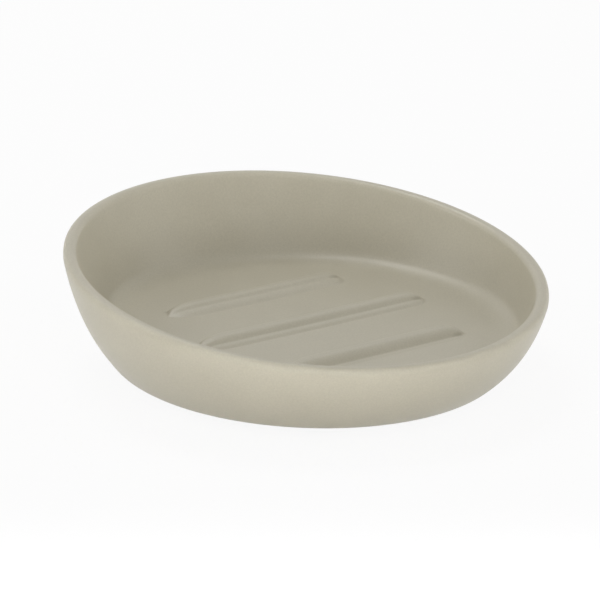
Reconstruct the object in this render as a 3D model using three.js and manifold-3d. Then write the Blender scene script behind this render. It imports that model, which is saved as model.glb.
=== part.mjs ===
// A one-bar ceramic soap dish: an oval bowl whose rim slants down towards one end, three drainage ribs
// raised from its dished floor, and four soft feet glued under its base ring.
// Millimetres, +Z up. The origin lies on the table under the middle of the rim, the low end of the rim
// is at +X, and the ribs run along Y.

import * as THREE from 'three';
import { mergeVertices } from 'three/addons/utils/BufferGeometryUtils.js';
import Module from 'manifold-3d';

const wasm = await Module();
wasm.setup();

// Rim, measured over the outside of the lip; heights are from the underside of the ceramic
const rimLength = 130;
const rimWidth = 119;
const rimHeightHigh = 32.4;
const rimHeightLow = 19.1;
const lipThickness = 3.6;

// Outer wall: how far the base edge lies inside the rim, and the corner that the wall's curve leans to
const baseInset = 12.6;
const bellyInset = 3.4;
const bellyHeight = 8.5;
const baseRounding = 2.2;

// Inner wall and floor: the floor is an oval that lies nearer the low end of the rim than the base does.
// It is slightly dished, and a cove round its edge rises to a crease where the wall begins.
const floorInset = 9.2;
const floorShift = 2.6;
const creaseHeight = 11.6;
const floorDish = 0.3;
const coveRise = 1.5;
const coveWidth = 7;
const floorThickness = 5;
const innerBelly = 0.9;

// Underside: a flat ring to stand on, around a recess
const ringWidth = 14;
const recessSlope = 2;

// Ribs on the floor: each has a long tail towards -Y and a blunt nose, and its crest is highest at ribTop
// and lower by ribDroop at the tip of the tail
const ribShift = 2.1;
const ribPitch = 26.4;
const ribWidth = 9.4;
const ribHeight = 2;
const ribDroop = 0.4;
const ribTop = 18;
const ribTail = 10;
const ribNose = 4;
const ribRoot = 1.5;
const middleRibLength = 68.8;
const outerRibLength = 53.5;

// Feet
const footDiameter = 9;
const footThickness = 1;
const footEdge = 0.3;
const adhesiveDiameter = 8.4;
const adhesiveThickness = 0.3;
const footAngles = { front_right: -45, back_right: 45, back_left: 135, front_left: -135 };

// Fineness of the facets
const bowlSegments = 64;
const edgeSteps = 3;
const wallSteps = 11;
const lipSteps = 8;
const innerWallSteps = 7;
const coveSteps = 4;
const floorSteps = 4;
const ribSegments = 16;
const ribEndSteps = 5;
const ribLengthSteps = 6;
const footSegments = 32;
const mergeDistance = 1e-4;

// Sizes that follow from those above
const rimRadius = rimLength / 2;
const ovalness = (rimLength - rimWidth) / 2;
const lipRadius = lipThickness / 2;
const lipHeight = (rimHeightHigh + rimHeightLow) / 2 - lipRadius;
const lipReach = rimRadius - lipRadius;
const slantRise = (rimHeightHigh - rimHeightLow) / 2;
const baseRadius = rimRadius - baseInset;
const floorRadius = rimRadius - floorInset;
const floorHeight = creaseHeight - floorDish - coveRise;
const recessHeight = floorHeight - floorThickness;
const ringRadius = baseRadius - baseRounding - ringWidth / 2;
const standHeight = footThickness + adhesiveThickness;

// The bowl's half section is a list of stations. Each has its half length along X and its height where
// the rim is level, the share of the rim's slant it takes part in, and the share of the floor's shift.
function station(radius, height, slant = 0, shift = 0) {
  return { radius, height, slant, shift };
}

function undersideStations() {
  const ringInside = ringRadius - ringWidth / 2;
  return [
    station(0, recessHeight),
    station((ringInside - recessSlope) / 2, recessHeight),
    station(ringInside - recessSlope, recessHeight),
    station(ringInside, 0),
    station(baseRadius - baseRounding, 0),
  ];
}

// The wall's outline as one curve from the base edge to the lip, flaring at the foot and upright above
const outerWall = new THREE.QuadraticBezierCurve(
  new THREE.Vector2(baseRadius, 0),
  new THREE.Vector2(rimRadius - bellyInset, bellyHeight),
  new THREE.Vector2(rimRadius, lipHeight),
);

function outerWallStations() {
  const start = baseRounding / outerWall.getLength();
  const first = outerWall.getPoint(start);
  const edge = new THREE.QuadraticBezierCurve(
    new THREE.Vector2(baseRadius - baseRounding, 0),
    new THREE.Vector2(baseRadius, 0),
    first,
  );
  const rounded = edge.getPoints(edgeSteps).slice(1, -1);
  const wall = [];
  for (let step = 0; step < wallSteps; step += 1) {
    wall.push(outerWall.getPoint(start + (1 - start) * step / wallSteps));
  }
  return [...rounded, ...wall].map((point) => station(point.x, point.y, point.y / lipHeight));
}

function lipStations() {
  const lip = new THREE.Path();
  lip.absarc(lipReach, lipHeight, lipRadius, 0, Math.PI, false);
  return lip.getPoints(lipSteps).map((point) => station(point.x, point.y, 1));
}

function innerWallStations() {
  const top = new THREE.Vector2(rimRadius - lipThickness, lipHeight);
  const crease = new THREE.Vector2(floorRadius, creaseHeight);
  const middle = top.clone().add(crease).multiplyScalar(0.5).add(new THREE.Vector2(innerBelly, 0));
  const wall = new THREE.QuadraticBezierCurve(top, middle, crease);
  return wall.getPoints(innerWallSteps).slice(1).map((point) => {
    const share = (point.y - creaseHeight) / (lipHeight - creaseHeight);
    return station(point.x, point.y, share, 1 - share);
  });
}

function floorStations() {
  const coveStart = 1 - coveWidth / floorRadius;
  const shares = [];
  for (let step = 1; step <= coveSteps; step += 1) {
    shares.push(1 - (1 - coveStart) * step / coveSteps);
  }
  for (let step = 1; step <= floorSteps; step += 1) {
    shares.push(coveStart * (1 - step / floorSteps));
  }
  return shares.map((share) => {
    const cove = Math.max(0, (share - coveStart) / (1 - coveStart));
    return station(floorRadius * share, floorHeight + floorDish * share ** 2 + coveRise * cove ** 2, 0, 1);
  });
}

// Turn the section around Z, draw it in to an oval, and tilt the rim
function bowlGeometry() {
  const stations = [
    ...undersideStations(),
    ...outerWallStations(),
    ...lipStations(),
    ...innerWallStations(),
    ...floorStations(),
  ];
  const outline = stations.map((place) => new THREE.Vector2(place.radius, place.height));
  const geometry = new THREE.LatheGeometry(outline, bowlSegments);
  const position = geometry.getAttribute('position');
  for (let vertex = 0; vertex < position.count; vertex += 1) {
    const place = stations[vertex % stations.length];
    const angle = Math.floor(vertex / stations.length) / bowlSegments * 2 * Math.PI;
    const halfWidth = place.radius - ovalness * Math.min(1, place.radius / floorRadius);
    position.setXYZ(
      vertex,
      place.radius * Math.sin(angle) + place.shift * floorShift,
      -halfWidth * Math.cos(angle),
      place.height - place.slant * slantRise * Math.sin(angle),
    );
  }
  return geometry;
}

// A rib is a bar whose round ends are drawn out to the tail and the nose, with its root sunk into the floor
function ribGeometry(x, length) {
  const radius = ribWidth / 2;
  const straight = length - ribTail - ribNose;
  const geometry = new THREE.CapsuleGeometry(radius, straight, ribEndSteps, ribSegments, ribLengthSteps);
  const position = geometry.getAttribute('position');
  for (let vertex = 0; vertex < position.count; vertex += 1) {
    const across = position.getX(vertex);
    const spine = position.getY(vertex);
    const up = position.getZ(vertex) / radius;
    const pastEnd = Math.max(0, Math.abs(spine) - straight / 2) / radius;
    const drawn = pastEnd * (spine < 0 ? ribTail : ribNose);
    const middle = (ribTail - ribNose) / 2;
    const along = middle + Math.sign(spine) * (Math.min(Math.abs(spine), straight / 2) + drawn);
    const crest = ribHeight - ribDroop * ((along - ribTop) / (length / 2 + ribTop)) ** 2;
    const height = up > 0 ? up * crest : up * ribRoot;
    position.setXYZ(vertex, x + across, along, floorHeight + height);
  }
  return geometry;
}

// A closed solid from a geometry: shared corners are merged and the slivers at the poles left out
function toSolid(geometry) {
  geometry.deleteAttribute('normal');
  geometry.deleteAttribute('uv');
  const merged = mergeVertices(geometry, mergeDistance);
  const corners = merged.getIndex().array;
  const triangles = [];
  for (let first = 0; first < corners.length; first += 3) {
    const [a, b, c] = corners.slice(first, first + 3);
    if (a !== b && b !== c && c !== a) triangles.push(a, b, c);
  }
  return new wasm.Manifold(new wasm.Mesh({
    numProp: 3,
    vertProperties: Float32Array.from(merged.getAttribute('position').array),
    triVerts: Uint32Array.from(triangles),
  }));
}

function toGeometry(solid) {
  const mesh = solid.getMesh();
  const geometry = new THREE.BufferGeometry();
  geometry.setAttribute('position', new THREE.BufferAttribute(mesh.vertProperties, 3));
  geometry.setIndex(new THREE.BufferAttribute(mesh.triVerts, 1));
  geometry.computeVertexNormals();
  return geometry;
}

function dishGeometry() {
  const lengths = [outerRibLength, middleRibLength, outerRibLength];
  let dish = toSolid(bowlGeometry());
  lengths.forEach((length, place) => {
    dish = dish.add(toSolid(ribGeometry(ribShift + (place - 1) * ribPitch, length)));
  });
  return toGeometry(dish);
}

// A foot is a disc that stands on z = 0, with its lower edge bevelled
function footGeometry() {
  const radius = footDiameter / 2;
  const outline = [
    new THREE.Vector2(0, 0),
    new THREE.Vector2(radius - footEdge, 0),
    new THREE.Vector2(radius, footEdge),
    new THREE.Vector2(radius, footThickness),
    new THREE.Vector2(0, footThickness),
  ];
  return new THREE.LatheGeometry(outline, footSegments).rotateX(Math.PI / 2);
}

function adhesiveGeometry() {
  const radius = adhesiveDiameter / 2;
  return new THREE.CylinderGeometry(radius, radius, adhesiveThickness, footSegments).rotateX(Math.PI / 2);
}

const glazedCeramic = { color: 0xbdb7a5, roughness: 0.55, metalness: 0 };
const clearSilicone = { color: 0xd9d8d2, roughness: 0.5, metalness: 0 };
const acrylicAdhesive = { color: 0xe8e6df, roughness: 0.7, metalness: 0 };

function piece(name, geometry, finish, x, y, z) {
  const mesh = new THREE.Mesh(geometry, new THREE.MeshStandardMaterial(finish));
  mesh.name = name;
  mesh.position.set(x, y, z);
  return mesh;
}

const soapDish = new THREE.Group();
soapDish.add(piece('dish_body', dishGeometry(), glazedCeramic, 0, 0, standHeight));

for (const [corner, degrees] of Object.entries(footAngles)) {
  const angle = THREE.MathUtils.degToRad(degrees);
  const x = ringRadius * Math.cos(angle);
  const y = (ringRadius - ovalness * Math.min(1, ringRadius / floorRadius)) * Math.sin(angle);
  const adhesiveMiddle = footThickness + adhesiveThickness / 2;
  soapDish.add(piece(`foot_${corner}`, footGeometry(), clearSilicone, x, y, 0));
  soapDish.add(piece(`foot_adhesive_${corner}`, adhesiveGeometry(), acrylicAdhesive, x, y, adhesiveMiddle));
}

export default soapDish;
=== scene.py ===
"""A ceramic soap dish with a slanted rim, glazed in a satin greige, standing on four silicone feet."""
import math

import bpy
import numpy as np
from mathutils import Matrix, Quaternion, Vector


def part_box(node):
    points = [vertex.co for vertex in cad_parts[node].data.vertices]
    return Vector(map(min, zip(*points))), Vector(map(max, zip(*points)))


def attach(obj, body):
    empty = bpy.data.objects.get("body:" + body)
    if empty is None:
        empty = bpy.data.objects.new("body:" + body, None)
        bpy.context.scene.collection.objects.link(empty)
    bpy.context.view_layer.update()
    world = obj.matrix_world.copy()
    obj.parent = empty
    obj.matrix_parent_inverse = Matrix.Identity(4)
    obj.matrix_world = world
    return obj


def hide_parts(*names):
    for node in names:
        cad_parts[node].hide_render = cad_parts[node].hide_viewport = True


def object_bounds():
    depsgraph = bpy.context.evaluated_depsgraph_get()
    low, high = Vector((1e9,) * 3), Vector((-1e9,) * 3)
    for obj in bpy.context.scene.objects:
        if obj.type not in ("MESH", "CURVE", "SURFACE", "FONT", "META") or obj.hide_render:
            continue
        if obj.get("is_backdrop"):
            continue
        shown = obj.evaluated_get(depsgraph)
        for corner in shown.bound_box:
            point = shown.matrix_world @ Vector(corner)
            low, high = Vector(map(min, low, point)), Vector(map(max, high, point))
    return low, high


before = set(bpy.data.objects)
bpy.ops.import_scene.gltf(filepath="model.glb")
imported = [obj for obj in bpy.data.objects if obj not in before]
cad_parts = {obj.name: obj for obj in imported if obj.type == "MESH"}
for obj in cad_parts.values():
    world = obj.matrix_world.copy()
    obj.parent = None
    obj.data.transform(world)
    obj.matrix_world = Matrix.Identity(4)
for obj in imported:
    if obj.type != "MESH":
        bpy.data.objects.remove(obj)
CAD_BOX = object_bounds()

MM = 0.001

# Sizes of the bowl. Its box gives the rim and the height that the base stands at. The rest repeats the
# solid's sizes, but for the lip and the cove, which are drawn more finely here
DISH_LOW, DISH_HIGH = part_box("dish_body")
BASE_HEIGHT = DISH_LOW.z
RIM_RADIUS = (DISH_HIGH.x - DISH_LOW.x) / 2
OVALNESS = RIM_RADIUS - (DISH_HIGH.y - DISH_LOW.y) / 2
RIM_HEIGHT_HIGH = DISH_HIGH.z - DISH_LOW.z
RIM_HEIGHT_LOW = 19.1 * MM
LIP_RADIUS = 3.6 * MM / 2
LIP_SQUARENESS = 0.6  # of the outer half, where 1 is a half round
LIP_LEAN = math.radians(17)  # of the inner wall where the lip runs into it
BASE_INSET = 12.6 * MM
BELLY_INSET = 3.4 * MM
BELLY_HEIGHT = 8.5 * MM
BASE_ROUNDING = 2.2 * MM
FLOOR_INSET = 9.2 * MM
FLOOR_SHIFT = 2.6 * MM
CREASE_HEIGHT = 11.6 * MM
FLOOR_DISH = 0.3 * MM
COVE_RISE = 1.5 * MM
COVE_WIDTH = 6 * MM
COVE_TOP = 0.08  # as a share of the way up the inner wall
LEAN_REACH = 0.01  # the further share over which the wall's lean is read there
FLOOR_THICKNESS = 5 * MM
INNER_BELLY = 0.9 * MM
RING_WIDTH = 14 * MM
RECESS_SLOPE = 2 * MM

# Ribs, from the high end of the rim to the low one: their places along X, their lengths, the shares of the
# full section's height that they rise to, and how far aside of its place each has its groove
RIB_PLACES = (-24.3 * MM, 1.2 * MM, 27.9 * MM)
RIB_LENGTHS = (53.5 * MM, 68.8 * MM, 53.5 * MM)
RIB_RISES = (0.8, 0.9, 0.95)
RIB_GROOVES = (1.4 * MM, 2.2 * MM, 3.3 * MM)
RIB_MIDDLE = 0.6 * MM  # along Y
RIB_TAIL = 10 * MM
RIB_NOSE = 4 * MM

# Sizes that follow from those above
LIP_HEIGHT = (RIM_HEIGHT_HIGH + RIM_HEIGHT_LOW) / 2 - LIP_RADIUS
SLANT_RISE = (RIM_HEIGHT_HIGH - RIM_HEIGHT_LOW) / 2
BASE_RADIUS = RIM_RADIUS - BASE_INSET
FLOOR_RADIUS = RIM_RADIUS - FLOOR_INSET
FLOOR_HALF_WIDTH = FLOOR_RADIUS - OVALNESS
FLOOR_HEIGHT = CREASE_HEIGHT - FLOOR_DISH - COVE_RISE
RECESS_HEIGHT = FLOOR_HEIGHT - FLOOR_THICKNESS
RING_INSIDE = BASE_RADIUS - BASE_ROUNDING - RING_WIDTH

# Fineness of the skin: steps along the section of the bowl, and the grid that the ribs are drawn on
COVE_STEPS = 12
INNER_WALL_STEPS = 16
LIP_STEPS = 20
OUTER_WALL_STEPS = 20
BASE_EDGE_STEPS = 8
RING_STEPS = 5
RECESS_STEPS = 4
RECESS_ROOF_SHARES = (0.9, 0.7, 0.45, 0.2)
CORE_HALF_LENGTH = 37 * MM
CORE_HALF_WIDTH = 36 * MM
CORE_DRAWN_IN = 0.35
CORE_ALONG = 204
CORE_ACROSS = 130
BAND_STEPS = 12

# How the glaze ran, with painted shade in the hollows and a painted highlight on the edges: the width of a
# round hollow that counts in full, the rounds that spread it, and the painted shadow spots at the ribs' ends
HOLLOW_WIDTH = 2.5 * MM
FLOW_AND_LIGHT_SPREAD = 3
SHADE_SPOT_RADIUS = 1.1 * MM
SHADE_SPOT_LENGTH = 3.5 * MM
SHADE_SPOT_DEPTH = 0.75
SHADE_SPOT_FROM_NOSE = 1.5 * MM
SHADE_SPOT_FROM_TAIL = 0.8 * MM
SHADE_SPOT_BESIDE_TAIL = 1.5 * MM

# Feet and the adhesive over them; their boxes give the diameters and heights
FOOT_ROUNDING = 0.3 * MM
FOOT_TOP_ROUNDING = 0.12 * MM
FOOT_DIMPLE = 1.1 * MM
FOOT_DIMPLE_DEPTH = 0.15 * MM
ADHESIVE_BULGE = 0.08 * MM
LATHE_SEGMENTS = 64
LATHE_STEPS = 6
FOOT_TOP_STEPS = 4

# Order of the dish's two materials
GLAZED, BARE = 0, 1

# Camera, from the photograph's view of the rim and the base
VIEW_AZIMUTH = math.radians(55.35)
VIEW_ELEVATION = math.radians(18.76)
VIEW_DISTANCE = 821.8 * MM
VIEW_LENS = 193.8
VIEW_SENSOR = 36
VIEW_TARGET_HEIGHT = 12 * MM
VIEW_LEFT = 1.25 * MM
VIEW_UP = 4.74 * MM

# White paper under the dish, and the share of it that is plain white to the camera; the rest takes the shadow
PAPER_REACH = 3
PAPER_WHITENING = 0.92

# Light: an even fill, a band near the horizon as a white table gives, brightest in front, soft boxes round
# the dish, and a lamp over the table in front, whose light reaches the outer wall by way of the table
FILL = 0.33
TABLE_GLOW = 6.7
TABLE_GLOW_ASIDE = 2.6
TABLE_GLOW_TOP = math.sin(math.radians(10))
SOFTBOX_DISTANCE = 1
SOFTBOX_SIZE = (0.45, 0.45)
TABLE_LAMP_DISTANCE = 0.3
TABLE_LAMP_HEIGHT = 0.2
TABLE_LAMP_SIZE = (0.5, 0.25)
TABLE_LAMP_SPREAD = math.radians(50)


def linear(hex_colour):
    """Linear RGBA of an sRGB colour such as "c1bcab"."""
    shares = [int(hex_colour[at:at + 2], 16) / 255 for at in (0, 2, 4)]
    return [s / 12.92 if s <= 0.04045 else ((s + 0.055) / 1.055) ** 2.4 for s in shares] + [1]


def add_node(tree, kind, inputs, **settings):
    """A node of that kind, with its settings, and each input set to a value or linked to a socket."""
    node = tree.nodes.new(kind)
    for name, value in settings.items():
        setattr(node, name, value)
    for name, value in inputs.items():
        if isinstance(value, bpy.types.NodeSocket):
            tree.links.new(value, node.inputs[name])
        else:
            node.inputs[name].default_value = value
    return node


def new_material(name):
    material = bpy.data.materials.new(name)
    material.use_nodes = True
    material.node_tree.nodes.clear()
    return material


def curve_point(start, corner, end, share):
    """The point at a share of the way along a curve that leaves start and reaches end by way of a corner."""
    back = 1 - share
    return [back * back * a + 2 * back * share * b + share * share * c for a, b, c in zip(start, corner, end)]


def steps(count):
    """Shares from just above 0 to 1."""
    return [step / count for step in range(1, count + 1)]


def bowl_point(angle, radius, height, slant=0, shift=0):
    """A point of the bowl at an angle round it, with its shares of the rim's slant and the floor's shift."""
    half_width = radius - OVALNESS * min(1, radius / FLOOR_RADIUS)
    return Vector((
        radius * math.cos(angle) + shift * FLOOR_SHIFT,
        half_width * math.sin(angle),
        height - slant * SLANT_RISE * math.cos(angle),
    ))


def lip_point(turn):
    """Radius and height of the lip at a turn about its middle, from 0 outside over the top to pi inside.
    Its outer half is flatter on top than a half round, so that the outer edge shows."""
    out, up = math.cos(turn), math.sin(turn)
    squareness = LIP_SQUARENESS if out > 0 else 1
    radius = RIM_RADIUS - LIP_RADIUS + LIP_RADIUS * math.copysign(abs(out) ** squareness, out)
    return radius, LIP_HEIGHT + LIP_RADIUS * up ** squareness


def inner_wall_point(angle, share):
    """A point at a share of the way up the inner wall, from the height of the crease to the lip."""
    low = (FLOOR_RADIUS, CREASE_HEIGHT)
    top = lip_point(math.pi - LIP_LEAN)
    middle = ((low[0] + top[0]) / 2 + INNER_BELLY, (low[1] + top[1]) / 2)
    radius, height = curve_point(low, middle, top, share)
    rise = min(1, (height - CREASE_HEIGHT) / (LIP_HEIGHT - CREASE_HEIGHT))
    return bowl_point(angle, radius, height, rise, 1 - rise)


def cove_points(angle):
    """The cove from the flat of the floor, which it leaves slowly, up to where the inner wall runs on."""
    end = inner_wall_point(angle, COVE_TOP)
    up = (inner_wall_point(angle, COVE_TOP + LEAN_REACH) - end).normalized()
    reach = (end.z - FLOOR_HEIGHT - FLOOR_DISH) / up.z
    corner = end - up * reach
    out = Vector((math.cos(angle) / FLOOR_RADIUS, math.sin(angle) / FLOOR_HALF_WIDTH, 0)).normalized()
    start = corner - out * COVE_WIDTH
    return [curve_point(start, corner, end, share) for share in [0, *steps(COVE_STEPS)]]


def inner_wall_points(angle):
    shares = [COVE_TOP + (1 - COVE_TOP) * share for share in steps(INNER_WALL_STEPS)]
    return [inner_wall_point(angle, share) for share in shares]


def lip_points(angle):
    turns = [(math.pi - LIP_LEAN) * (1 - share) for share in steps(LIP_STEPS)]
    return [bowl_point(angle, *lip_point(turn), 1) for turn in turns]


def outer_wall_points(angle):
    base = (BASE_RADIUS, 0)
    corner = (RIM_RADIUS - BELLY_INSET, BELLY_HEIGHT)
    top = (RIM_RADIUS, LIP_HEIGHT)
    rounding = BASE_ROUNDING / math.dist(base, top)
    outline = [curve_point(top, corner, base, share * (1 - rounding)) for share in steps(OUTER_WALL_STEPS)]
    foot = (BASE_RADIUS - BASE_ROUNDING, 0)
    wall_end = outline[-1]
    outline += [curve_point(wall_end, base, foot, share) for share in steps(BASE_EDGE_STEPS)]
    return [bowl_point(angle, radius, height, height / LIP_HEIGHT) for radius, height in outline]


def base_ring_points(angle):
    outside = BASE_RADIUS - BASE_ROUNDING
    return [bowl_point(angle, outside - share * RING_WIDTH, 0) for share in steps(RING_STEPS)]


def recess_points(angle):
    slope = [(RING_INSIDE - share * RECESS_SLOPE, share * RECESS_HEIGHT) for share in steps(RECESS_STEPS)]
    roof = [((RING_INSIDE - RECESS_SLOPE) * share, RECESS_HEIGHT) for share in RECESS_ROOF_SHARES]
    return [bowl_point(angle, radius, height) for radius, height in slope + roof]


def section(angle):
    """The dish cut open at an angle, from the edge of the floor over the lip and round to the underside:
    points with their finishes."""
    stretches = (
        (cove_points(angle), GLAZED),
        (inner_wall_points(angle), GLAZED),
        (lip_points(angle), GLAZED),
        (outer_wall_points(angle), GLAZED),
        (base_ring_points(angle), BARE),
        (recess_points(angle), GLAZED),
    )
    return [(point, finish) for points, finish in stretches for point in points]


def floor_height(x, y):
    """Height of the floor at a place given from its middle: a shallow dish."""
    share = math.hypot(x / (FLOOR_RADIUS - COVE_WIDTH), y / (FLOOR_HALF_WIDTH - COVE_WIDTH))
    return FLOOR_HEIGHT + FLOOR_DISH * min(1, share) ** 2


def rib_section_height(across, groove):
    """Height of a full rib at a place across it, the sum of the slopes up to there. It has a steep far side,
    a crest, a back that falls to a shallow groove, and a ledge that rounds off to the foot."""
    # Places across the rib, each with the slope there
    far_side = (-5 * MM, 0), (-4.2 * MM, 0.9), (-2.6 * MM, 0.7), (-1.6 * MM, 0.03)
    back = (0, -0.12), (groove, -0.85), (groove + 0.4 * MM, -0.02)
    ledge = (groove + 1.2 * MM, -0.1), (5.2 * MM, -0.75), (6 * MM, 0)
    slopes = far_side + back + ledge
    height = 0
    for (from_x, from_slope), (to_x, to_slope) in zip(slopes, slopes[1:]):
        share = min(1, max(0, (across - from_x) / (to_x - from_x)))
        slope = from_slope + (to_slope - from_slope) * share
        height += (to_x - from_x) * share * (from_slope + slope) / 2
    return max(0, height)


def rib_height(x, y, length, rise, groove):
    """Height of one rib over the floor, drawn in to its groove at its long tail and at its blunt nose."""
    end = RIB_TAIL if y < 0 else RIB_NOSE
    past_end = max(0, abs(y) - length / 2 + end) / end
    if past_end >= 1:
        return 0
    taper = math.sqrt(1 - past_end ** 2)
    return rise * taper * rib_section_height(groove + (x - groove) / taper, groove)


def ribbed_floor_height(x, y):
    """Height of the floor with its ribs."""
    height = floor_height(x, y)
    for place, length, rise, groove in zip(RIB_PLACES, RIB_LENGTHS, RIB_RISES, RIB_GROOVES):
        height += rib_height(x + FLOOR_SHIFT - place, y - RIB_MIDDLE, length, rise, groove)
    return height


def core_plan():
    """Places of the grid that the ribs are drawn on, from the floor's middle, row by row: a barrel shape."""
    plan = []
    for row in range(CORE_ACROSS + 1):
        y_share = 2 * row / CORE_ACROSS - 1
        half_length = CORE_HALF_LENGTH * (1 - CORE_DRAWN_IN * y_share ** 4)
        for column in range(CORE_ALONG + 1):
            plan.append((half_length * (2 * column / CORE_ALONG - 1), CORE_HALF_WIDTH * y_share))
    return plan


def core_edge():
    """The points round the grid's edge in order, as places in its plan: right, back, left and front."""
    columns = CORE_ALONG + 1
    right = [row * columns + CORE_ALONG for row in range(CORE_ACROSS)]
    back = [CORE_ACROSS * columns + column for column in range(CORE_ALONG, 0, -1)]
    left = [row * columns for row in range(CORE_ACROSS, 0, -1)]
    front = list(range(CORE_ALONG))
    return right + back + left + front


def floor_bands(plan, edge, floor_edge):
    """Rings of floor between the edge of the grid and the edge of the floor."""
    for share in steps(BAND_STEPS)[:-1]:
        band = []
        for at, end in zip(edge, floor_edge):
            x = plan[at][0] * (1 - share) + (end[0] - FLOOR_SHIFT) * share
            y = plan[at][1] * (1 - share) + end[1] * share
            band.append((x + FLOOR_SHIFT, y, ribbed_floor_height(x, y)))
        yield band


def dish_mesh():
    """The dish as one closed skin: the grid with the ribs, and rings from there over the lip and round."""
    plan, edge = core_plan(), core_edge()
    columns = CORE_ALONG + 1
    points = [(x + FLOOR_SHIFT, y, ribbed_floor_height(x, y)) for x, y in plan]
    faces = [
        (low, low + 1, low + 1 + columns, low + columns)
        for row in range(CORE_ACROSS) for low in range(row * columns, row * columns + CORE_ALONG)
    ]
    finishes = [GLAZED] * len(faces)
    angles = [math.atan2(plan[at][1] / FLOOR_HALF_WIDTH, plan[at][0] / FLOOR_RADIUS) for at in edge]
    section_rings = list(zip(*(section(angle) for angle in angles)))
    floor_edge = [point for point, finish in section_rings[0]]
    rings = [(band, GLAZED) for band in floor_bands(plan, edge, floor_edge)]
    rings += [([point for point, finish in ring], ring[0][1]) for ring in section_rings]
    inner = edge
    for ring_points, finish in rings:
        outer = range(len(points), len(points) + len(edge))
        points.extend(ring_points)
        for at in range(len(edge)):
            after = (at + 1) % len(edge)
            faces.append((inner[at], outer[at], outer[after], inner[after]))
            finishes.append(finish)
        inner = outer
    middle = len(points)
    points.append((0, 0, RECESS_HEIGHT))
    for at in range(len(edge)):
        faces.append((inner[at], middle, inner[(at + 1) % len(edge)]))
        finishes.append(GLAZED)
    mesh = bpy.data.meshes.new("glazed_dish")
    mesh.from_pydata([(x, y, z + BASE_HEIGHT) for x, y, z in points], [], faces)
    mesh.polygons.foreach_set("material_index", finishes)
    mesh.shade_smooth()
    return mesh


def rib_shade_spots():
    """Painted shadow spots in the glaze colour: at the end of each rib's groove and beside the tip of its
    tail.
    """
    for place, length, groove in zip(RIB_PLACES, RIB_LENGTHS, RIB_GROOVES):
        yield place + groove, RIB_MIDDLE + length / 2 - SHADE_SPOT_FROM_NOSE
        yield place - SHADE_SPOT_BESIDE_TAIL, RIB_MIDDLE - length / 2 + SHADE_SPOT_FROM_TAIL


def add_flow_and_painted_light(mesh):
    """Store how the glaze ran, with painted light: above 0 where it pooled and painted shade darkens the
    hollows and the ribs' ends, below 0 where edges shed it and a painted highlight lightens them.
    """
    count = len(mesh.vertices)
    places, normals = np.empty(count * 3), np.empty(count * 3)
    mesh.vertices.foreach_get("co", places)
    mesh.vertices.foreach_get("normal", normals)
    places, normals = places.reshape(-1, 3), normals.reshape(-1, 3)
    ends = np.empty(len(mesh.edges) * 2, int)
    mesh.edges.foreach_get("vertices", ends)
    one, other = ends.reshape(-1, 2).T
    way = places[other] - places[one]
    length = np.linalg.norm(way, axis=1)
    neighbours = np.bincount(ends, minlength=count)

    def around(at_one, at_other):
        return np.bincount(one, at_one, count) + np.bincount(other, at_other, count)

    # Above 0 in hollows: pooled glaze with painted shade. Below 0 on edges: thinned glaze with a painted
    # highlight
    rise = (normals[one] * way).sum(1) / length ** 2, -(normals[other] * way).sum(1) / length ** 2
    flow_and_light = np.clip(around(*rise) / neighbours * HOLLOW_WIDTH, -1, 1)
    for _ in range(FLOW_AND_LIGHT_SPREAD):
        flow_and_light = (flow_and_light + around(flow_and_light[other], flow_and_light[one])) / (1 + neighbours)
    inside = places[:, 2] > BASE_HEIGHT + FLOOR_HEIGHT - FLOOR_THICKNESS / 2
    # Painted shadow spots at the ribs' ends, which darken the glaze colour there
    for x, y in rib_shade_spots():
        along = places[:, 1] - y
        length = np.where(along * y > 0, SHADE_SPOT_RADIUS, SHADE_SPOT_LENGTH)
        apart = np.hypot((places[:, 0] - x) / SHADE_SPOT_RADIUS, along / length)
        flow_and_light = np.where(inside, np.maximum(flow_and_light, SHADE_SPOT_DEPTH * np.exp(-apart ** 2)), flow_and_light)
    mesh.attributes.new("flow_and_painted_light", "FLOAT", "POINT").data.foreach_set("value", flow_and_light)


def lathe_mesh(name, profile, middle):
    """A closed round piece from its profile, which runs from the axis to the axis, (radius, height) pairs."""
    points = [(middle[0], middle[1], profile[0][1]), (middle[0], middle[1], profile[-1][1])]
    faces = []
    for radius, height in profile[1:-1]:
        for turn in range(LATHE_SEGMENTS):
            angle = 2 * math.pi * turn / LATHE_SEGMENTS
            x = middle[0] + radius * math.cos(angle)
            y = middle[1] + radius * math.sin(angle)
            points.append((x, y, height))
    last = 2 + (len(profile) - 3) * LATHE_SEGMENTS
    for turn in range(LATHE_SEGMENTS):
        after = (turn + 1) % LATHE_SEGMENTS
        faces.append((0, 2 + after, 2 + turn))
        faces.append((1, last + turn, last + after))
        for low in range(2, last, LATHE_SEGMENTS):
            high = low + LATHE_SEGMENTS
            faces.append((low + turn, low + after, high + after, high + turn))
    mesh = bpy.data.meshes.new(name)
    mesh.from_pydata(points, [], faces)
    mesh.shade_smooth()
    return mesh


def arc(middle, radius, start, end, count):
    """Points on an arc about a middle, its angles in degrees."""
    angles = [math.radians(start + (end - start) * step / count) for step in range(count + 1)]
    return [(middle[0] + radius * math.cos(angle), middle[1] + radius * math.sin(angle)) for angle in angles]


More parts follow.
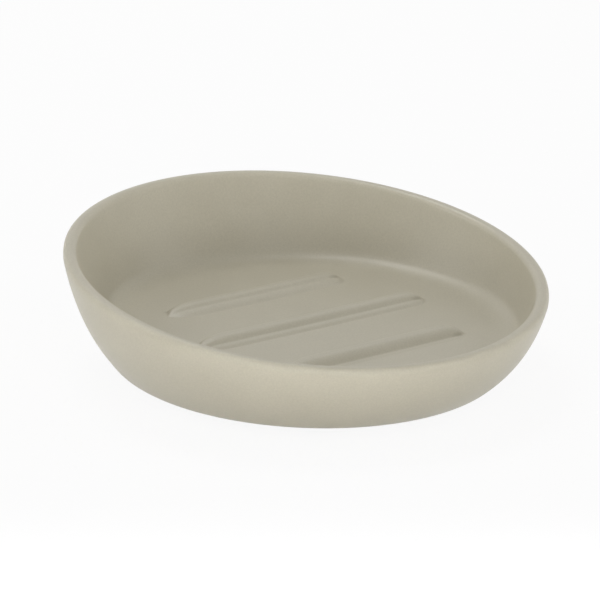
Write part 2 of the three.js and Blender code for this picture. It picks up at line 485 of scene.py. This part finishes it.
def satin_glaze():
    """Satin-matt feldspar glaze on cast stoneware. It looks even and soft, with a cloudy mottle and a faint
    grain. It is darker where it pooled, with painted shade in the hollows and painted shadow at the ribs'
    ends, and lighter where it drew back from an edge, with a painted highlight there. The grain is drawn at
    0.45 mm, coarser than the real one, so that it shows."""
    material = new_material("satin_glaze")
    tree = material.node_tree
    place = add_node(tree, "ShaderNodeTexCoord", {}).outputs["Object"]
    flow_and_light = add_node(tree, "ShaderNodeAttribute", {}, attribute_name="flow_and_painted_light").outputs["Fac"]
    cloud = add_node(
        tree, "ShaderNodeTexNoise", {"Vector": place, "Scale": 1 / (9 * MM), "Detail": 3}).outputs[0]
    grain = add_node(
        tree, "ShaderNodeTexNoise", {"Vector": place, "Scale": 1 / (0.45 * MM), "Detail": 2}).outputs[0]
    peel = add_node(
        tree, "ShaderNodeTexNoise", {"Vector": place, "Scale": 1 / (1.7 * MM), "Detail": 1}).outputs[0]
    # Darker where glaze pooled, with painted shade in the hollows and painted shadow spots at the ribs' ends
    pooled_and_shaded = add_node(
        tree, "ShaderNodeMapRange", {"Value": flow_and_light, "From Min": 0.38, "From Max": 0.85}).outputs[0]
    # Lighter where glaze thinned, with a painted highlight on edges such as the lip and the rib crests
    thinned_and_lit = add_node(
        tree, "ShaderNodeMapRange", {"Value": flow_and_light, "From Min": -0.15, "From Max": -0.7}).outputs[0]
    clouded = add_node(
        tree, "ShaderNodeMix", {"Factor": cloud, "A": linear("c0baa6"), "B": linear("c8c2af")},
        data_type="RGBA")
    grained = add_node(
        tree, "ShaderNodeMix", {"Factor": grain, "A": linear("e8e8e8"), "B": linear("ffffff")},
        data_type="RGBA")
    body = add_node(
        tree, "ShaderNodeMix", {"Factor": 1, "A": clouded.outputs["Result"], "B": grained.outputs["Result"]},
        data_type="RGBA", blend_type="MULTIPLY")
    # Pooled glaze and painted shade, in a darker glaze colour
    deep_and_shaded = add_node(
        tree, "ShaderNodeMix", {"Factor": pooled_and_shaded, "A": body.outputs["Result"], "B": linear("a59e8a")},
        data_type="RGBA")
    # Thinned glaze and a painted highlight, in a lighter glaze colour
    colour = add_node(
        tree, "ShaderNodeMix", {"Factor": thinned_and_lit, "A": deep_and_shaded.outputs["Result"], "B": linear("d8d2c0")},
        data_type="RGBA")
    roughness = add_node(tree, "ShaderNodeMapRange", {
        "Value": cloud, "From Min": 0.3, "From Max": 0.7, "To Min": 0.36, "To Max": 0.43,
    })
    bumps = add_node(tree, "ShaderNodeMath", {0: peel, 1: grain}, operation="ADD")
    bump = add_node(
        tree, "ShaderNodeBump", {"Height": bumps.outputs[0], "Strength": 0.25, "Distance": 0.02 * MM})
    shader = add_node(tree, "ShaderNodeBsdfPrincipled", {
        "Base Color": colour.outputs["Result"], "Roughness": roughness.outputs[0], "IOR": 1.5,
        "Normal": bump.outputs[0],
    })
    add_node(tree, "ShaderNodeOutputMaterial", {"Surface": shader.outputs[0]})
    return material


def wiped_stoneware():
    """Bare fired stoneware where the base ring was wiped clean of glaze: paler, dry and gritty."""
    material = new_material("wiped_stoneware")
    tree = material.node_tree
    place = add_node(tree, "ShaderNodeTexCoord", {}).outputs["Object"]
    grit = add_node(
        tree, "ShaderNodeTexNoise", {"Vector": place, "Scale": 1 / (0.5 * MM), "Detail": 4}).outputs[0]
    smear = add_node(
        tree, "ShaderNodeTexNoise", {"Vector": place, "Scale": 1 / (6 * MM), "Detail": 3}).outputs[0]
    clay = add_node(
        tree, "ShaderNodeMix", {"Factor": smear, "A": linear("c8bda8"), "B": linear("d8cfbc")},
        data_type="RGBA")
    dots = add_node(
        tree, "ShaderNodeMapRange", {"Value": grit, "From Min": 0.62, "From Max": 0.72}).outputs[0]
    colour = add_node(
        tree, "ShaderNodeMix", {"Factor": dots, "A": clay.outputs["Result"], "B": linear("a5977f")},
        data_type="RGBA")
    bump = add_node(tree, "ShaderNodeBump", {"Height": grit, "Strength": 0.5, "Distance": 0.06 * MM})
    shader = add_node(tree, "ShaderNodeBsdfPrincipled", {
        "Base Color": colour.outputs["Result"], "Roughness": 0.85, "Normal": bump.outputs[0],
    })
    add_node(tree, "ShaderNodeOutputMaterial", {"Surface": shader.outputs[0]})
    return material


def moulded_silicone():
    """Translucent silicone from a matt mould: milky, softly lit from within, with a fine blasted grain. The
    grain is drawn at 0.25 mm, coarser than the real one, so that it shows close up."""
    material = new_material("moulded_silicone")
    tree = material.node_tree
    place = add_node(tree, "ShaderNodeTexCoord", {}).outputs["Object"]
    grain = add_node(
        tree, "ShaderNodeTexNoise", {"Vector": place, "Scale": 1 / (0.25 * MM), "Detail": 2}).outputs[0]
    haze = add_node(
        tree, "ShaderNodeTexNoise", {"Vector": place, "Scale": 1 / (3 * MM), "Detail": 2}).outputs[0]
    colour = add_node(
        tree, "ShaderNodeMix", {"Factor": haze, "A": linear("cfcdc4"), "B": linear("e0dfd9")},
        data_type="RGBA")
    roughness = add_node(tree, "ShaderNodeMapRange", {
        "Value": grain, "From Min": 0.3, "From Max": 0.7, "To Min": 0.42, "To Max": 0.58,
    })
    bump = add_node(tree, "ShaderNodeBump", {"Height": grain, "Strength": 0.3, "Distance": 0.02 * MM})
    shader = add_node(tree, "ShaderNodeBsdfPrincipled", {
        "Base Color": colour.outputs["Result"], "Roughness": roughness.outputs[0], "IOR": 1.41,
        "Subsurface Weight": 0.4, "Subsurface Radius": (1 * MM, 1 * MM, 0.9 * MM), "Subsurface Scale": 1,
        "Normal": bump.outputs[0],
    })
    add_node(tree, "ShaderNodeOutputMaterial", {"Surface": shader.outputs[0]})
    return material


def acrylic_adhesive():
    """Die-cut acrylic foam tape: off-white, matt, with the small cells of the foam at its cut edge. They are
    drawn at 0.2 mm, larger than the real ones, so that they show close up."""
    material = new_material("acrylic_adhesive")
    tree = material.node_tree
    place = add_node(tree, "ShaderNodeTexCoord", {}).outputs["Object"]
    cells = add_node(
        tree, "ShaderNodeTexVoronoi", {"Vector": place, "Scale": 1 / (0.2 * MM)}).outputs["Distance"]
    colour = add_node(
        tree, "ShaderNodeMix", {"Factor": cells, "A": linear("dcd9d0"), "B": linear("eeece6")},
        data_type="RGBA")
    bump = add_node(tree, "ShaderNodeBump", {"Height": cells, "Strength": 0.4, "Distance": 0.03 * MM})
    shader = add_node(tree, "ShaderNodeBsdfPrincipled", {
        "Base Color": colour.outputs["Result"], "Roughness": 0.7, "IOR": 1.48, "Normal": bump.outputs[0],
    })
    add_node(tree, "ShaderNodeOutputMaterial", {"Surface": shader.outputs[0]})
    return material


def add_piece(name, mesh, materials, node, slot):
    """One piece of the dish, which stands for a node of the frame and takes the given materials. The slot is
    not used.
    """
    piece = bpy.data.objects.new(name, mesh)
    bpy.context.scene.collection.objects.link(piece)
    for material in materials:
        mesh.materials.append(material)
    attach(piece, "root")
    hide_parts(node)


def build_dish():
    mesh = dish_mesh()
    add_flow_and_painted_light(mesh)
    add_piece("glazed_dish", mesh, [satin_glaze(), wiped_stoneware()], "dish_body", "glaze")


def foot_profile(low, high):
    """Half section of a foot: a dimple from the mould's gate below, rounded edges, a flat top to glue."""
    radius = (high.x - low.x) / 2
    dimple = [
        (FOOT_DIMPLE * share, low.z + FOOT_DIMPLE_DEPTH * (1 - share ** 2) ** 2)
        for share in steps(LATHE_STEPS)
    ]
    bottom = arc((radius - FOOT_ROUNDING, low.z + FOOT_ROUNDING), FOOT_ROUNDING, -90, 0, LATHE_STEPS)
    top_middle = (radius - FOOT_TOP_ROUNDING, high.z - FOOT_TOP_ROUNDING)
    top = arc(top_middle, FOOT_TOP_ROUNDING, 0, 90, FOOT_TOP_STEPS)
    return [(0, low.z + FOOT_DIMPLE_DEPTH), *dimple, *bottom, *top, (0, high.z)]


def adhesive_profile(low, high):
    """Half section of an adhesive disc, its cut edge drawn in a little at its two faces."""
    radius = (high.x - low.x) / 2
    edge = [
        (radius - ADHESIVE_BULGE * (2 * share - 1) ** 2, low.z + (high.z - low.z) * share)
        for share in [0, *steps(LATHE_STEPS)]
    ]
    return [(0, low.z), *edge, (0, high.z)]


def build_feet():
    silicone, adhesive = moulded_silicone(), acrylic_adhesive()
    for corner in ("front_right", "back_right", "back_left", "front_left"):
        for kind, profile, material, slot in (
            ("foot", foot_profile, silicone, "foot"),
            ("foot_adhesive", adhesive_profile, adhesive, "adhesive"),
        ):
            low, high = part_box(f"{kind}_{corner}")
            middle = (low + high) / 2
            mesh = lathe_mesh(f"moulded_{kind}_{corner}", profile(low, high), middle)
            add_piece(mesh.name, mesh, [material], f"{kind}_{corner}", slot)


def build_camera():
    aside = Vector((math.cos(VIEW_AZIMUTH), math.sin(VIEW_AZIMUTH), 0))
    back = Vector((
        math.sin(VIEW_AZIMUTH) * math.cos(VIEW_ELEVATION),
        -math.cos(VIEW_AZIMUTH) * math.cos(VIEW_ELEVATION),
        math.sin(VIEW_ELEVATION),
    ))
    up = back.cross(aside)
    target = Vector((0, 0, VIEW_TARGET_HEIGHT)) - VIEW_LEFT * aside + VIEW_UP * up
    camera = bpy.data.objects.new("camera", bpy.data.cameras.new("camera"))
    camera.data.sensor_width = VIEW_SENSOR
    camera.data.lens = VIEW_LENS
    camera.data.clip_start = VIEW_DISTANCE / 100
    camera.location = target + back * VIEW_DISTANCE
    camera.rotation_mode = "QUATERNION"
    camera.rotation_quaternion = (-back).to_track_quat("-Z", "Y")
    bpy.context.scene.collection.objects.link(camera)
    bpy.context.scene.camera = camera


def seen_directly(tree):
    """1 for a ray from the camera, a reflection or a see-through surface, and 0 for light on its way."""
    ray = add_node(tree, "ShaderNodeLightPath", {}).outputs
    seen = add_node(
        tree, "ShaderNodeMath", {0: ray["Is Camera Ray"], 1: ray["Is Glossy Ray"]}, operation="ADD")
    through = add_node(
        tree, "ShaderNodeMath", {0: seen.outputs[0], 1: ray["Is Transmission Ray"]},
        operation="ADD", use_clamp=True)
    return through.outputs[0]


def build_floor():
    material = new_material("white_paper")
    tree = material.node_tree
    paper = add_node(tree, "ShaderNodeBsdfDiffuse", {"Color": linear("fafafa")})
    white = add_node(tree, "ShaderNodeEmission", {"Strength": 1})
    share = add_node(
        tree, "ShaderNodeMath", {0: seen_directly(tree), 1: PAPER_WHITENING}, operation="MULTIPLY")
    mixed = add_node(
        tree, "ShaderNodeMixShader", {0: share.outputs[0], 1: paper.outputs[0], 2: white.outputs[0]})
    add_node(tree, "ShaderNodeOutputMaterial", {"Surface": mixed.outputs[0]})
    mesh = bpy.data.meshes.new("floor")
    corners = [(-1, -1), (1, -1), (1, 1), (-1, 1)]
    mesh.from_pydata([(x * PAPER_REACH, y * PAPER_REACH, 0) for x, y in corners], [], [(0, 1, 2, 3)])
    mesh.materials.append(material)
    floor = bpy.data.objects.new("floor", mesh)
    bpy.context.scene.collection.objects.link(floor)
    floor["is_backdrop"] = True


def direction(turn, rise):
    """The way from the dish to a lamp: its turn to the right of the camera and its rise, in degrees."""
    azimuth = VIEW_AZIMUTH - math.pi / 2 + math.radians(turn)
    elevation = math.radians(rise)
    return Vector((
        math.cos(azimuth) * math.cos(elevation), math.sin(azimuth) * math.cos(elevation), math.sin(elevation),
    ))


def build_world():
    world = bpy.data.worlds.new("studio")
    bpy.context.scene.world = world
    world.use_nodes = True
    tree = world.node_tree
    tree.nodes.clear()
    way = add_node(tree, "ShaderNodeTexCoord", {}).outputs["Generated"]
    height = add_node(tree, "ShaderNodeSeparateXYZ", {"Vector": way}).outputs["Z"]
    facing = add_node(tree, "ShaderNodeVectorMath", {0: way, 1: direction(0, 0)}, operation="DOT_PRODUCT")
    table = add_node(tree, "ShaderNodeMapRange", {
        "Value": facing.outputs["Value"], "To Min": TABLE_GLOW_ASIDE, "To Max": TABLE_GLOW,
    })
    glow = add_node(tree, "ShaderNodeMapRange", {
        "Value": height, "From Min": 0, "From Max": TABLE_GLOW_TOP,
        "To Min": table.outputs[0], "To Max": FILL,
    })
    light = add_node(
        tree, "ShaderNodeBackground", {"Color": linear("ffffff"), "Strength": glow.outputs[0]})
    white = add_node(tree, "ShaderNodeBackground", {"Color": linear("ffffff"), "Strength": 1})
    mixed = add_node(
        tree, "ShaderNodeMixShader", {0: seen_directly(tree), 1: light.outputs[0], 2: white.outputs[0]})
    add_node(tree, "ShaderNodeOutputWorld", {"Surface": mixed.outputs[0]})


def build_lamp(name, place, turned, size, radiance, **settings):
    """A soft lamp at a place, turned from looking straight down, with the brightness of its face."""
    lamp = bpy.data.objects.new(name, bpy.data.lights.new(name, "AREA"))
    for setting, value in {"size": size[0], "size_y": size[1], **settings}.items():
        setattr(lamp.data, setting, value)
    face = size[0] * size[1] * (math.pi / 4 if lamp.data.shape == "ELLIPSE" else 1)
    lamp.data.energy = radiance * math.pi * face
    lamp.location = place
    lamp.rotation_mode = "QUATERNION"
    lamp.rotation_quaternion = turned
    lamp.visible_camera = False
    bpy.context.scene.collection.objects.link(lamp)


def build_softbox(name, turn, rise, radiance):
    """A round soft box that faces the dish."""
    away = direction(turn, rise)
    place = Vector((0, 0, VIEW_TARGET_HEIGHT)) + away * SOFTBOX_DISTANCE
    build_lamp(name, place, (-away).to_track_quat("-Z", "Y"), SOFTBOX_SIZE, radiance, shape="ELLIPSE")


def build_table_lamp(name, radiance):
    """A lamp with a honeycomb, over the table in front: it lights the table and hardly the dish itself."""
    place = direction(0, 0) * TABLE_LAMP_DISTANCE + Vector((0, 0, TABLE_LAMP_HEIGHT))
    turned = Quaternion((0, 0, 1), VIEW_AZIMUTH)
    build_lamp(name, place, turned, TABLE_LAMP_SIZE, radiance, shape="RECTANGLE", spread=TABLE_LAMP_SPREAD)


build_camera()
build_dish()
build_feet()
build_floor()
build_world()
build_softbox("key_from_back_left", turn=-156, rise=60, radiance=5.1)
build_softbox("front_fill", turn=15, rise=45, radiance=1.6)
build_softbox("side_fill_right", turn=90, rise=30, radiance=1.7)
build_softbox("side_fill_left", turn=-90, rise=30, radiance=2.2)
build_table_lamp("table_lamp_front", radiance=8)
bpy.context.scene.view_settings.view_transform = "Standard"

{name: [list(corner) for corner in box] for name, box in (("cad", CAD_BOX), ("visual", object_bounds()))}
